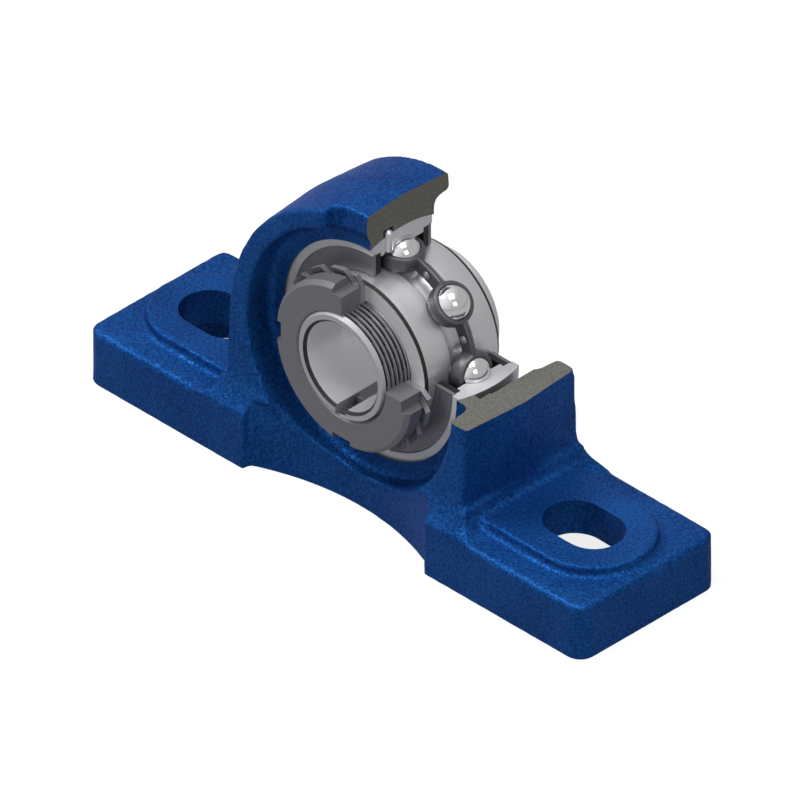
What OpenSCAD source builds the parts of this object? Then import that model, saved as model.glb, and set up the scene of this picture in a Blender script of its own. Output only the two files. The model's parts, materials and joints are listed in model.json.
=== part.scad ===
// Pillow block bearing: a cast housing with a self-aligning ball bearing insert,
// clamped on its shaft by an adapter sleeve, a lock washer and a lock nut.
// It is a display model: one quarter of the housing, outer ring, shields, seals,
// washer and nut is cut away, so that the balls and the cage are open to view.
// Frame: +X along the base, +Y along the shaft to the back, +Z up, in millimetres.
// The origin is on the underside, at the middle of the base.

/* [Housing] */
// Height of the shaft axis over the underside
shaft_height = 36.5; // [35.5:0.5:42]
// Length of the base
base_length = 140; // [136:1:156]
// Width of the base over the feet
base_width = 39.2; // [38:0.2:43]
// Height of the feet
foot_height = 12.8; // [11.6:0.2:14]
// Radius on the upright corners of the feet
foot_corner = 3.5; // [1:0.5:5]
// Radius along the top edges of the feet
foot_edge = 1.4; // [0.6:0.2:2.4]
// Depth of the hollow under each foot
hollow_depth = 7; // [5:0.25:8]
// Wall of the feet at the sides of their hollows, and the solid base before the hollows begin
hollow_wall = 5; // [4:0.25:7]
// Wall of the feet at their ends
hollow_end = 6; // [5:0.25:8]
// Rise of the bolt pads over the feet
pad_rise = 2.4; // [1.4:0.2:3.4]
// Width of the bolt pads
pad_width = 26.4; // [24:0.2:30]
// Distance from the slot's outer end to the end of its pad
pad_margin = 6.45; // [4:0.25:7]
// Distance between the middles of the two bolt slots
bolt_spacing = 103; // [99:0.5:105]
// Width of the bolt slots
slot_width = 13; // [9:0.5:14]
// Length of the bolt slots
slot_length = 18.5; // [15:0.5:20]
// Wall of the drum at the height of the shaft
side_wall = 8.6; // [7.6:0.2:11]
// Wall of the drum at its crown
crown_wall = 7.8; // [6.4:0.2:9.4]
// Width of the drum over its faces at the height of the shaft
drum_width = 30.8; // [29:0.2:34]
// Length of the waist between the feet
waist_length = 51; // [46:1:56]
// Width of the waist at its middle
waist_width = 24; // [22:0.2:26]
// Radius of the waist's hollow flanks
waist_radius = 60; // [52:1:80]
// Radius where the drum's faces flare out to the feet
flare_radius = 14; // [10:1:18]
// Radius where the drum's sides meet the feet
root_radius = 5; // [2:0.5:7]
// Draft angle of the cast faces, in degrees
draft = 4; // [1:0.5:5]
// Radial room around the bearing in the two mouths
mouth_room = 2.4; // [1.8:0.2:3.2]
// Fillet at the bottom of the mouths
mouth_fillet = 2; // [1:0.25:2.5]
// Reach of the seat past each side of the outer ring
seat_reach = 0.6; // [0.2:0.1:1.2]
// Width of the flat on the front of the crown
crown_flat = 17.6; // [12:0.4:24]
// Depth of that flat behind the drum's face at the crown
crown_flat_depth = 3.1; // [1.5:0.1:3.4]
// Width of the grease groove in the seat
grease_width = 2.8; // [2.6:0.1:3.4]
// Depth of the grease groove under the seat
grease_depth = 1.3; // [1.1:0.1:1.8]
// Depth under the seat of the slots through which the ring is put in
loading_depth = 1.7; // [0.8:0.1:2.2]

/* [Bearing insert] */
// Outside diameter of the spherical outer ring
ring_diameter = 52; // [51.6:0.1:52.6]
// Width of the outer ring
ring_width = 17; // [16.4:0.1:18]
// Width of the inner ring
inner_width = 21; // [20:0.2:23]
// Diameter of the circle through the ball centres
pitch_diameter = 39; // [38.8:0.05:39.2]
// Diameter of the balls
ball_diameter = 7.938; // [7.5:0.02:8.1]
// Radial distance from the ball circle to the shoulder of each ring
shoulder_drop = 2.05; // [1.8:0.05:2.3]
// Radius of the raceways over the radius of the balls
race_openness = 0.13; // [0.06:0.01:0.2]
// Thickness of the cage's sheet
cage_sheet = 0.7; // [0.5:0.05:0.8]
// Radial distance from each ring's shoulder to the cage
cage_room = 0.45; // [0.3:0.05:0.7]
// Shank diameter of the cage rivets
rivet_diameter = 1.2; // [0.9:0.1:1.4]
// Thickness of the steel shields
shield_sheet = 0.75; // [0.5:0.05:0.9]
// Thickness of the rubber seals
seal_thickness = 1.4; // [1:0.1:1.5]
// Depth of the shields behind the ring's faces
shield_recess = 0.3; // [0.1:0.05:0.5]
// Bite of the shields in the grooves of the outer ring
shield_bite = 0.2; // [0.1:0.05:0.3]
// Chamfer on the edges of the inner ring
inner_chamfer = 0.6; // [0.3:0.1:0.8]
// Radial wall of the outer ring around the shields
shield_wall = 1.95; // [1.6:0.05:2.1]
// Diameter of the locating pin
pin_diameter = 2; // [1.6:0.1:2.2]
// Distance from the outer ring's shoulder to the foot of the pin
pin_inset = 0.6; // [0.3:0.1:1]
// Distance of the pin and its groove in front of the ring's middle
pin_offset = 3.9; // [3.7:0.05:4.2]

/* [Sleeve, washer and nut] */
// Diameter of the shaft
shaft_diameter = 20; // [18:0.5:20.5]
// Thread diameter of the sleeve
thread_diameter = 25; // [24.6:0.1:25.6]
// Pitch of the thread
thread_pitch = 1.15; // [1:0.05:1.5]
// Length over which the taper's diameter grows by one
taper_ratio = 12; // [10:1:20]
// Width of the slit in the sleeve
slit_width = 3; // [2.4:0.1:4]
// Reach of the sleeve in front of the nut
sleeve_nose = 0.2; // [0.1:0.1:0.8]
// Chamfer on the front edge of the sleeve's thread
sleeve_lead = 0.8; // [0.4:0.1:1.2]
// Chamfer on both ends of the sleeve's bore
bore_chamfer = 0.7; // [0.3:0.1:1]
// Reach of the sleeve behind the inner ring
sleeve_tail = 4; // [1:0.25:6]
// Thickness of the lock washer
washer_sheet = 1.2; // [0.8:0.1:1.5]
// Diameter over the washer's tabs
washer_diameter = 40.6; // [39.6:0.2:41.4]
// Width of the washer's tabs
tab_width = 4; // [3:0.1:4.4]
// Lean of the washer's tabs towards the nut, in degrees
tab_lean = 24; // [10:1:30]
// Outside diameter of the lock nut
nut_diameter = 38; // [37:0.2:38.4]
// Width of the lock nut
nut_width = 5.6; // [5:0.1:7]
// Diameter of the nut's face on the washer
nut_face_diameter = 33.2; // [32:0.2:34]
// Chamfer on the front edge of the nut
nut_edge = 0.9; // [0.5:0.1:1.4]
// Width of the nut's notches
notch_width = 5; // [4:0.1:6]
// Depth of the nut's notches
notch_depth = 2; // [1.2:0.1:2.4]

/* [Running gaps] */
// Gap between the outer ring and its seat
seat_gap = 0.03; // [0.02:0.01:0.08]
// Gap between the balls and the raceways
ball_gap = 0.03; // [0.02:0.01:0.06]
// Gap between the balls and the cage's pockets
pocket_gap = 0.08; // [0.05:0.01:0.12]
// Gap between the inner ring and the shields and seals
lip_gap = 0.1; // [0.06:0.02:0.2]
// Gap between pieces that are fitted together
fit_gap = 0.02; // [0.01:0.01:0.04]
// Room of the locating pin under the bottom of its groove
pin_room = 0.25; // [0.15:0.05:0.4]

/* [Hidden] */

ball_count = 8;
tab_count = 18;
tab_start = 5;
notch_count = 4;
taper_start = 0.4;
fine = 96;
arc_steps = 8;
past = 60;
over = 1;
slope = tan(draft);

ring_r = ring_diameter / 2;
pitch_r = pitch_diameter / 2;
ball_r = ball_diameter / 2;
race_r = ball_r + race_openness;
inner_shoulder_r = pitch_r - shoulder_drop;
outer_shoulder_r = pitch_r + shoulder_drop;
cage_in_r = inner_shoulder_r + cage_room;
cage_out_r = outer_shoulder_r - cage_room;
pocket_r = ball_r + pocket_gap;

// Where the housing stands
seat_r = ring_r + seat_gap;
side_r = ring_r + side_wall;
crown_z = shaft_height + ring_r + crown_wall;
drum_z = crown_z - side_r;
pad_z = foot_height + pad_rise;
base_half = base_width / 2;
seat_half = ring_width / 2 + seat_reach;
mouth_r = ring_r + mouth_room;

// Rings, shields and seals along the shaft
ring_half = ring_width / 2;
inner_half = inner_width / 2;
ring_mouth_r = sqrt(ring_r * ring_r - ring_half * ring_half) - shield_wall;
shield_r = ring_mouth_r + shield_bite;
shield_out_y = ring_half - shield_recess;
shield_in_y = shield_out_y - shield_sheet;
seal_in_y = shield_in_y - seal_thickness;

// Sleeve, washer and nut along the shaft
thread_r = thread_diameter / 2;
thread_depth = 0.55 * thread_pitch;
nut_r = nut_diameter / 2;
nut_face_r = nut_face_diameter / 2;
washer_front = -inner_half - washer_sheet;
nut_front = washer_front - nut_width;
sleeve_front = nut_front - sleeve_nose;
sleeve_back = inner_half + sleeve_tail;

// Half width of the drum at height z, which its draft makes narrower upwards
function drum_half(z) = drum_width / 2 + slope * (shaft_height - z);
// Radius of the sleeve's seat in the inner ring at y
function taper_r(y) = thread_r + (y + inner_half) / (2 * taper_ratio);
// Points of an arc about a centre
function arc(centre, r, from, to) =
    [for (i = [0:arc_steps]) let (a = from + (to - from) * i / arc_steps)
        centre + r * [cos(a), sin(a)]];
// Crests and roots of a thread between two places, as points of radius and place
function thread_points(r, from, to) =
    [for (i = [0:floor((to - from) / thread_pitch) - 1]) let (y = from + i * thread_pitch)
        each [[r, y], [r, y + 0.2 * thread_pitch],
              [r - thread_depth, y + 0.5 * thread_pitch],
              [r - thread_depth, y + 0.7 * thread_pitch]]];

// Turns local z into the direction of the shaft, with the origin on its axis
module on_shaft() translate([0, 0, shaft_height]) rotate([-90, 0, 0]) children();

// A turned shape, from points of radius and place along the shaft
module turned(points) on_shaft() rotate_extrude($fn = fine) polygon(points);

// A disc or tube round the shaft, from one place to another
module tube(outer, inner, from, to)
    turned([[inner, from], [outer, from], [outer, to], [inner, to]]);

// Takes away the quarter that is open to view
module cut_open() difference() {
    children();
    translate([0, -past, shaft_height]) cube([2 * past, 2 * past, 2 * past]);
}

// Puts a shape at the place of each ball, or between the balls
module round_the_circle(start) for (i = [0:ball_count - 1])
    on_shaft() rotate([0, 0, -start - i * 360 / ball_count]) translate([pitch_r, 0, 0]) children();

// Plan of the two feet, with round corners
module foot_plan() {
    c = [base_length / 2 - foot_corner, base_half - foot_corner];
    polygon(concat(
        arc(c, foot_corner, 0, 90), arc([-c[0], c[1]], foot_corner, 90, 180),
        arc([-c[0], -c[1]], foot_corner, 180, 270), arc([c[0], -c[1]], foot_corner, 270, 360)));
}

// The base: two feet joined under the drum, with rounded long edges
module feet() intersection() {
    linear_extrude(foot_height) foot_plan();
    translate([-base_length, 0, 0]) rotate([90, 0, 90]) linear_extrude(2 * base_length)
        polygon(concat(
            [[-base_half, 0], [base_half, 0]],
            arc([base_half - foot_edge, foot_height - foot_edge], foot_edge, 0, 90),
            arc([foot_edge - base_half, foot_height - foot_edge], foot_edge, 90, 180)));
    translate([0, base_width, 0]) rotate([90, 0, 0]) linear_extrude(2 * base_width)
        polygon(concat(
            [[-base_length / 2, 0], [base_length / 2, 0]],
            arc([base_length / 2 - foot_edge, foot_height - foot_edge], foot_edge, 0, 90),
            arc([foot_edge - base_length / 2, foot_height - foot_edge], foot_edge, 90, 180)));
}

// Upright slot with round ends along X, up to a height
module slot(middle, length, width, top) translate([middle, 0, -over]) {
    run = (length - width) / 2;
    for (end = [-1, 1]) translate([end * run, 0, 0])
        cylinder(d = width, h = top + over, $fn = fine);
    translate([-run, -width / 2, 0]) cube([2 * run, width, top + over]);
}

// Raised pad round a bolt slot, running in to the side of the drum
module pad(side) {
    end = bolt_spacing / 2 + slot_length / 2 + pad_margin - pad_width / 2;
    translate([side * end, 0, foot_height / 2])
        cylinder(d = pad_width, h = pad_z - foot_height / 2, $fn = fine);
    translate([side > 0 ? 0 : -end, -pad_width / 2, foot_height / 2])
        cube([end, pad_width, pad_z - foot_height / 2]);
}

// Outline of the drum and its legs, drafted both ways from the parting plane
module drum_outline() {
    half = base_half + over;
    small = side_r - slope * half;
    translate([0, 0, drum_z - shaft_height])
        turned([[0, -half], [small, -half], [side_r, 0], [small, half], [0, half]]);
    linear_extrude(drum_z)
        polygon([[side_r, 0], [small, half], [-small, half],
                 [-side_r, 0], [-small, -half], [small, -half]]);
}

// Fillets where the sides of the drum meet the feet
module roots() for (side = [-1, 1]) difference() {
    translate([side * (side_r + root_radius / 2 - over), 0, foot_height + root_radius / 2 - over])
        cube([root_radius + 2 * over, base_width, root_radius + 2 * over], center = true);
    translate([side * (side_r + root_radius), 0, foot_height + root_radius]) rotate([90, 0, 0])
        cylinder(r = root_radius, h = 2 * base_width, center = true, $fn = fine);
}

// Side view of the drum: narrower to its crown, and flared out to the feet
module drum_profile() {
    narrow_z = foot_height + flare_rise();
    side = [[base_half, 0], [base_half, foot_height], [drum_half(narrow_z), narrow_z],
            [drum_half(crown_z + over), crown_z + over]];
    difference() {
        translate([-base_length, 0, 0]) rotate([90, 0, 90]) linear_extrude(2 * base_length)
            polygon(concat(side, [for (i = [3:-1:0]) [-side[i][0], side[i][1]]]));
        for (s = [-1, 1])
            translate([-base_length, s * (drum_half(narrow_z) + flare_radius), narrow_z])
                rotate([0, 90, 0]) cylinder(r = flare_radius, h = 2 * base_length, $fn = fine);
    }
}
// Height over the feet at which the flare begins, so that it ends on their top front edge
function flare_rise() =
    let (k = flare_radius - base_half + drum_half(foot_height), a = 1 + slope * slope)
    (k * slope + sqrt(a * flare_radius * flare_radius - k * k)) / a;

// Mouth of the housing on one side, behind a drafted wall with a round corner
module mouth(side) turned([for (p = concat(
    [[0, seat_half]],
    arc([mouth_r - mouth_fillet, seat_half + mouth_fillet], mouth_fillet, -90, 0),
    [[mouth_r + slope * (base_half + over - seat_half), base_half + over], [0, base_half + over]]))
    [p[0], side * p[1]]]);

// Slots through which the ring is swung into its seat, on both sides from the groove to the back
module loading_slots() intersection() {
    tube(seat_r + loading_depth, 0, grease_width / 2 - pin_offset, seat_half + mouth_fillet);
    translate([-past, -past, shaft_height - ring_half - seat_reach / 3])
        cube([2 * past, 2 * past, ring_width + 2 * seat_reach / 3]);
}

module housing() color([0.09, 0.30, 0.58]) cut_open() difference() {
    union() {
        feet();
        for (side = [-1, 1]) pad(side);
        intersection() {
            union() { drum_outline(); roots(); }
            drum_profile();
        }
    }
    // Hollow flanks of the waist
    for (side = [-1, 1]) intersection() {
        translate([0, side * (waist_width / 2 + waist_radius), -over])
            cylinder(r = waist_radius, h = pad_z + 2 * over, $fn = 2 * fine);
        translate([-waist_length / 2, -past, -2 * over]) cube([waist_length, 2 * past, past]);
    }
    // Bolt slots, and the hollows that they open into
    hollow_from = waist_length / 2 + hollow_wall;
    hollow_to = base_length / 2 - hollow_end;
    for (side = [-1, 1]) {
        slot(side * bolt_spacing / 2, slot_length, slot_width, pad_z + over);
        slot(side * (hollow_from + hollow_to) / 2, hollow_to - hollow_from,
             base_width - 2 * hollow_wall, hollow_depth);
    }
    // Spherical seat with its grease groove
    translate([0, 0, shaft_height]) rotate([90, 0, 0]) sphere(r = seat_r, $fn = fine);
    tube(seat_r + grease_depth, 0, -pin_offset - grease_width / 2, -pin_offset + grease_width / 2);
    for (side = [-1, 1]) mouth(side);
    loading_slots();
    // Flat on the front of the crown
    translate([-crown_flat / 2, -past, shaft_height + seat_r - grease_depth])
        cube([crown_flat, past - drum_half(crown_z) + crown_flat_depth, past]);
}

module outer_ring() color([0.72, 0.72, 0.74]) cut_open() difference() {
    intersection() {
        translate([0, 0, shaft_height]) rotate([90, 0, 0]) sphere(r = ring_r, $fn = fine);
        tube(ring_r + over, 0, -ring_half, ring_half);
    }
    tube(outer_shoulder_r, 0, -ring_half - over, ring_half + over);
    on_shaft() rotate_extrude($fn = fine)
        translate([pitch_r + ball_r + ball_gap - race_r, 0]) circle(r = race_r, $fn = fine);
    for (side = [-1, 1]) {
        turned([for (p = [[0, seal_in_y], [ring_mouth_r, seal_in_y], [ring_mouth_r, shield_in_y],
                          [shield_r, shield_in_y], [shield_r, shield_out_y],
                          [ring_mouth_r, shield_out_y], [ring_mouth_r, ring_half + over],
                          [0, ring_half + over]]) [p[0], side * p[1]]]);
    }
    translate([0, -pin_offset, shaft_height])
        cylinder(d = pin_diameter, h = ring_r + over, $fn = fine);
}

module inner_ring() color([0.66, 0.66, 0.68]) difference() {
    edge = inner_chamfer;
    turned([[taper_r(-inner_half) + edge, -inner_half], [inner_shoulder_r - edge, -inner_half],
            [inner_shoulder_r, edge - inner_half], [inner_shoulder_r, inner_half - edge],
            [inner_shoulder_r - edge, inner_half], [taper_r(inner_half) + edge, inner_half],
            [taper_r(inner_half - edge), inner_half - edge],
            [taper_r(edge - inner_half), edge - inner_half]]);
    on_shaft() rotate_extrude($fn = fine)
        translate([pitch_r - ball_r - ball_gap + race_r, 0]) circle(r = race_r, $fn = fine);
}

// One half of the riveted cage: flat bars between round pockets. Side is -1 or 1.
module cage_half(side) color([0.28, 0.28, 0.30]) mirror([0, side < 0 ? 1 : 0, 0]) intersection() {
    tube(cage_out_r, cage_in_r, 0, ball_diameter);
    difference() {
        union() {
            on_shaft() cylinder(r = cage_out_r + over, h = cage_sheet, $fn = fine);
            round_the_circle(0) sphere(r = pocket_r + cage_sheet, $fn = fine);
        }
        round_the_circle(0) sphere(r = pocket_r, $fn = fine);
        round_the_circle(180 / ball_count)
            cylinder(d = rivet_diameter, h = 4 * cage_sheet, center = true, $fn = fine / 2);
    }
}

// Round-headed rivets through the bars of both cage halves
module cage_rivets() color([0.80, 0.80, 0.82]) round_the_circle(180 / ball_count) {
    cylinder(d = rivet_diameter, h = 2 * cage_sheet, center = true, $fn = fine / 2);
    difference() {
        sphere(d = 2 * rivet_diameter, $fn = fine / 2);
        cube([4 * rivet_diameter, 4 * rivet_diameter, 2 * cage_sheet], center = true);
    }
}

// One ball, counted from the side of the cut and on towards the crown
module ball(number) color([0.90, 0.90, 0.90])
    on_shaft() rotate([0, 0, -(number - 1) * 360 / ball_count]) translate([pitch_r, 0, 0])
        sphere(r = ball_r, $fn = fine);

module shield(side) color([0.35, 0.35, 0.37]) cut_open() turned([for (p = [
    [inner_shoulder_r + lip_gap, shield_in_y], [shield_r - fit_gap, shield_in_y],
    [shield_r - fit_gap, shield_out_y], [inner_shoulder_r + lip_gap, shield_out_y]])
    [p[0], side * p[1]]]);

module seal(side) color([0.07, 0.07, 0.08]) cut_open() turned([for (p = [
    [inner_shoulder_r + lip_gap, seal_in_y + seal_thickness / 3],
    [inner_shoulder_r + 3 * lip_gap, seal_in_y + fit_gap],
    [ring_mouth_r - fit_gap, seal_in_y + fit_gap], [ring_mouth_r - fit_gap, shield_in_y],
    [inner_shoulder_r + 3 * lip_gap, shield_in_y],
    [inner_shoulder_r + lip_gap, shield_in_y - seal_thickness / 3]])
    [p[0], side * p[1]]]);

module adapter_sleeve() color([0.70, 0.70, 0.73]) difference() {
    bore = shaft_diameter / 2;
    turned(concat(
        [[bore, sleeve_back - bore_chamfer], [bore, sleeve_front + bore_chamfer],
         [bore + bore_chamfer, sleeve_front], [thread_r - sleeve_lead, sleeve_front]],
        thread_points(thread_r, sleeve_front + sleeve_lead, -inner_half),
        [[thread_r - thread_depth, -inner_half],
         [taper_r(-inner_half) - fit_gap, taper_start - inner_half],
         [taper_r(sleeve_back) - fit_gap, sleeve_back], [bore + bore_chamfer, sleeve_back]]));
    translate([-slit_width / 2, -past, shaft_height - thread_diameter])
        cube([slit_width, 2 * past, thread_diameter]);
}

module lock_washer() color([0.38, 0.38, 0.40]) cut_open() {
    hole = thread_r + lip_gap;
    tab_r = nut_face_r + 2 * lip_gap;
    tip_r = washer_diameter / 2;
    lean = (tip_r - tab_r) * tan(tab_lean);
    tube(tab_r, hole, washer_front, -inner_half);
    intersection() {
        turned([[tab_r - over, washer_front], [tab_r, washer_front], [tip_r, washer_front - lean],
                [tip_r, -inner_half - lean], [tab_r, -inner_half], [tab_r - over, -inner_half]]);
        for (i = [0:tab_count - 1]) on_shaft() rotate([0, 0, -tab_start - i * 360 / tab_count])
            translate([0, -tab_width / 2, -past]) cube([past, tab_width, 2 * past]);
    }
    // Key that lies in the slit of the sleeve
    translate([lip_gap - slit_width / 2, washer_front, shaft_height - hole - washer_sheet])
        cube([slit_width - 2 * lip_gap, washer_sheet,
              hole + washer_sheet - shaft_diameter / 2 - bore_chamfer]);
}

module lock_nut() color([0.36, 0.36, 0.38]) cut_open() difference() {
    back_chamfer = (nut_r - nut_face_r) * tan(tab_lean + 6);
    turned([[0, nut_front], [nut_r - nut_edge, nut_front], [nut_r, nut_front + nut_edge],
            [nut_r, washer_front - back_chamfer], [nut_face_r, washer_front], [0, washer_front]]);
    // Threaded bore, a little wider than the sleeve's thread
    turned(concat(
        [[0, nut_front - over], [thread_r - sleeve_lead / 2, nut_front - over]],
        [for (p = thread_points(thread_r + fit_gap, sleeve_front + sleeve_lead, -inner_half))
            if (p[1] > nut_front && p[1] < washer_front) p],
        [[thread_r + fit_gap, washer_front + over], [0, washer_front + over]]));
    for (i = [0:notch_count - 1]) on_shaft() rotate([0, 0, i * 360 / notch_count])
        translate([nut_r - notch_depth, -notch_width / 2, -past]) cube([past, notch_width, 2 * past]);
}

// Pin that keeps the outer ring from creeping round, with its head in the grease groove
module locating_pin() color([0.82, 0.82, 0.84]) translate([0, -pin_offset, shaft_height]) {
    foot = outer_shoulder_r + pin_inset;
    head = seat_r + grease_depth - pin_room - pin_diameter / 2;
    translate([0, 0, foot]) cylinder(d = pin_diameter, h = head - foot, $fn = fine);
    translate([0, 0, head]) sphere(d = pin_diameter, $fn = fine);
}

housing();
outer_ring();
inner_ring();
cage_half(-1);  // cage_front
cage_half(1);  // cage_rear
cage_rivets();
ball(1);  // ball_1
ball(2);  // ball_2
ball(3);  // ball_3
ball(4);  // ball_4
ball(5);  // ball_5
ball(6);  // ball_6
ball(7);  // ball_7
ball(8);  // ball_8
shield(-1);  // front_shield
shield(1);  // rear_shield
seal(-1);  // front_seal
seal(1);  // rear_seal
adapter_sleeve();
lock_washer();
lock_nut();
locating_pin();
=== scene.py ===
"""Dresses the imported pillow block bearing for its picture.

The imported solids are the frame: every piece here stands where its solid stands. The housing is
the solid itself, melted to a sand casting and then machined. Every other piece is a surface
worked out with numpy, most of them a profile carried round the shaft. Places and sizes are in
millimetres, with +X along the base, +Y along the shaft to the back and +Z up.
"""

import json
import logging
import math
from collections.abc import Sequence
from dataclasses import dataclass
from enum import Enum

import bmesh
import bpy
import numpy as np
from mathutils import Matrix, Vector

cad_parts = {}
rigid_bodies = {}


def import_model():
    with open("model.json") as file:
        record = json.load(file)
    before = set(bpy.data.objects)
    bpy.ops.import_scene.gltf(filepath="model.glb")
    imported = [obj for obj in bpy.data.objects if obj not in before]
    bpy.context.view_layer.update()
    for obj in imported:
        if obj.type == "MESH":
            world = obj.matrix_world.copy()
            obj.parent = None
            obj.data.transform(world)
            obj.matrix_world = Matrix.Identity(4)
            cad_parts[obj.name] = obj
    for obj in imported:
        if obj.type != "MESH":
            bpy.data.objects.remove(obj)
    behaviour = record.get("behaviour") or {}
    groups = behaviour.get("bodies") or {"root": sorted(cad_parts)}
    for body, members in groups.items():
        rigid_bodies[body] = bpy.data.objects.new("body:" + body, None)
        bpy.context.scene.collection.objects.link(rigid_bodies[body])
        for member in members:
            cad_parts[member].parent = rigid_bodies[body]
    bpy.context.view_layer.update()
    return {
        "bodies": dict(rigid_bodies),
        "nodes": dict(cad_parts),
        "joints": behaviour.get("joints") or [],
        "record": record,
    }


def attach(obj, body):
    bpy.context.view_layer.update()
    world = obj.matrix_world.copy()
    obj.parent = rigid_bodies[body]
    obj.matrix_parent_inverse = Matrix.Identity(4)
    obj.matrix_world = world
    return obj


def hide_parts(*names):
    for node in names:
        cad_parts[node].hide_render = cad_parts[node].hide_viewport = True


LOG = logging.getLogger("pillow_block")
MM = 0.001
FULL_TURN = 2 * math.pi
# Finishes that a mesh has room for while it is worked on: the sleeve has the most
SLOTS = 5
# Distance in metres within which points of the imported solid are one
NEAR = 1e-6
# Levels between which a noise texture mostly stays
NOISE_LOW, NOISE_HIGH = 0.3, 0.7
# Two directions across an axis and the axis: along the shaft, and upright
ACROSS_SHAFT = np.array([[1.0, 0, 0], [0, 0, 1.0], [0, 1.0, 0]])
UPRIGHT = np.eye(3)
Points = np.ndarray
Corner = tuple[float, float, float]
Tree = bpy.types.NodeTree
Node = bpy.types.Node
Socket = bpy.types.NodeSocket


def arc(centre: tuple[float, float], radius: float, start: float, end: float, steps: int) -> Points:
    """Points on an arc: centre + radius * (cos a, sin a), with a going from start to end.

    Args:
        centre: centre as (radius, place along the shaft).
        radius: radius of the arc.
        start: first angle in degrees.
        end: last angle in degrees.
        steps: number of stretches between the points.

    Returns:
        Array of steps + 1 points.
    """
    angles = np.radians(np.linspace(start, end, steps + 1))
    return np.array(centre) + radius * np.column_stack((np.cos(angles), np.sin(angles)))


def rounded(corners: Sequence[Corner], steps: int = 4) -> Points:
    """Closed outline whose corners are fillets.

    The fillet at a corner touches both edges at fillet / tan(half the corner's angle) from it.
    Its points are the corner's two touching directions, mixed and set to the fillet's radius.

    Args:
        corners: (radius, place along the shaft, fillet) of each corner in order.
        steps: number of stretches in each fillet.

    Returns:
        Array of the outline's points.
    """
    spots = np.array([c[:2] for c in corners], float)
    parts = []
    for i, (_, _, fillet) in enumerate(corners):
        spot, before, after = spots[i], spots[i - 1], spots[(i + 1) % len(spots)]
        if fillet <= 0:
            parts.append(spot[None])
            continue
        back = (before - spot) / np.linalg.norm(before - spot)
        on = (after - spot) / np.linalg.norm(after - spot)
        half = math.acos(np.clip(back @ on, -1, 1)) / 2
        middle = spot + (back + on) / np.linalg.norm(back + on) * fillet / math.sin(half)
        first = spot + back * fillet / math.tan(half) - middle
        last = spot + on * fillet / math.tan(half) - middle
        turn = math.pi - 2 * half
        share = np.linspace(0, 1, steps + 1)[:, None]
        mixed = np.sin((1 - share) * turn) * first + np.sin(share * turn) * last
        parts.append(middle + mixed / math.sin(turn))
    return np.concatenate(parts)


def about_shaft(radius: Points, angle: Points, along: Points, height: float) -> Points:
    """Places in space: (radius * cos angle, along, height + radius * sin angle).

    Args:
        radius: distances from the shaft's axis.
        angle: angles from +X towards +Z, in radians.
        along: places along the shaft.
        height: height of the shaft's axis.

    Returns:
        Array with one place for each entry, in its last dimension.
    """
    radius, angle, along = np.broadcast_arrays(radius, angle, along)
    return np.stack((radius * np.cos(angle), along, height + radius * np.sin(angle)), axis=-1)


def turned(profile: Points, height: float, steps: int) -> Points:
    """Grid of a closed profile carried once round the shaft.

    Args:
        profile: outline as (radius, place along the shaft).
        height: height of the shaft's axis.
        steps: number of stretches round the shaft.

    Returns:
        Grid of places, with the turn first and the profile second.
    """
    angle = np.linspace(0, FULL_TURN, steps, endpoint=False)[:, None]
    return about_shaft(profile[None, :, 0], angle, profile[None, :, 1], height)


def loft_quads(turns: int, ring: int) -> Points:
    """Faces of a grid that is closed both ways.

    Args:
        turns: number of rings.
        ring: number of points in a ring.

    Returns:
        Four corner numbers for each face.
    """
    one = np.arange(turns * ring).reshape(turns, ring)
    two = np.roll(one, -1, axis=0)
    return np.stack((one, two, np.roll(two, -1, axis=1), np.roll(one, -1, axis=1)), -1).reshape(-1, 4)


def mesh_of(name: str, grids: Sequence[Points], bands: Points | None = None) -> bpy.types.Mesh:
    """Mesh of one or more closed grids, with its faces turned outwards.

    Args:
        name: name of the mesh.
        grids: grids of places in millimetres, each closed both ways.
        bands: number of the finish of each face of a grid, or of each stretch of its profile, or
            None for the first.

    Returns:
        The mesh, in metres.
    """
    places, quads, start = [], [], 0
    for grid in grids:
        places.append(grid.reshape(-1, 3) * MM)
        quads.append(loft_quads(*grid.shape[:2]) + start)
        start += len(places[-1])
    mesh = bpy.data.meshes.new(name)
    mesh.from_pydata(np.concatenate(places).tolist(), [], np.concatenate(quads).tolist())
    if bands is not None:
        finish = np.concatenate([np.broadcast_to(bands, grid.shape[:2]).ravel() for grid in grids])
        mesh.polygons.foreach_set("material_index", finish.astype(np.int32))
    close_up(mesh)
    return mesh


def close_up(mesh: bpy.types.Mesh, near: float = 1e-7, thin: float = 1e-8) -> None:
    """Merges points that coincide, drops faces without area and turns all faces outwards.

    Args:
        mesh: the mesh, which is changed.
        near: distance in metres within which points are one.
        thin: width in metres under which a face has no area.
    """
    work = bmesh.new()
    work.from_mesh(mesh)
    bmesh.ops.remove_doubles(work, verts=work.verts, dist=near)
    bmesh.ops.dissolve_degenerate(work, dist=thin, edges=work.edges)
    bmesh.ops.recalc_face_normals(work, faces=work.faces)
    work.to_mesh(mesh)
    work.free()


def dome(profile: Points, centre: Points, across: Points, steps: int) -> Points:
    """Grid of an open profile, from pole to pole, carried round an axis of its own.

    A place is centre + radius * (cos a, sin a) in the plane across the axis, plus the
    profile's second number along the axis.

    Args:
        profile: points as (radius, place along the axis), with radius 0 at both ends.
        centre: place of the profile's origin.
        across: 3 x 3 array whose rows are two directions across the axis and the axis.
        steps: number of stretches round the axis.

    Returns:
        Grid of places. It closes on itself, because both ends lie on the axis.
    """
    angle = np.linspace(0, FULL_TURN, steps, endpoint=False)[:, None, None]
    radius, along = profile[None, :, :1], profile[None, :, 1:]
    return centre + radius * (np.cos(angle) * across[0] + np.sin(angle) * across[1]) + along * across[2]


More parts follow.
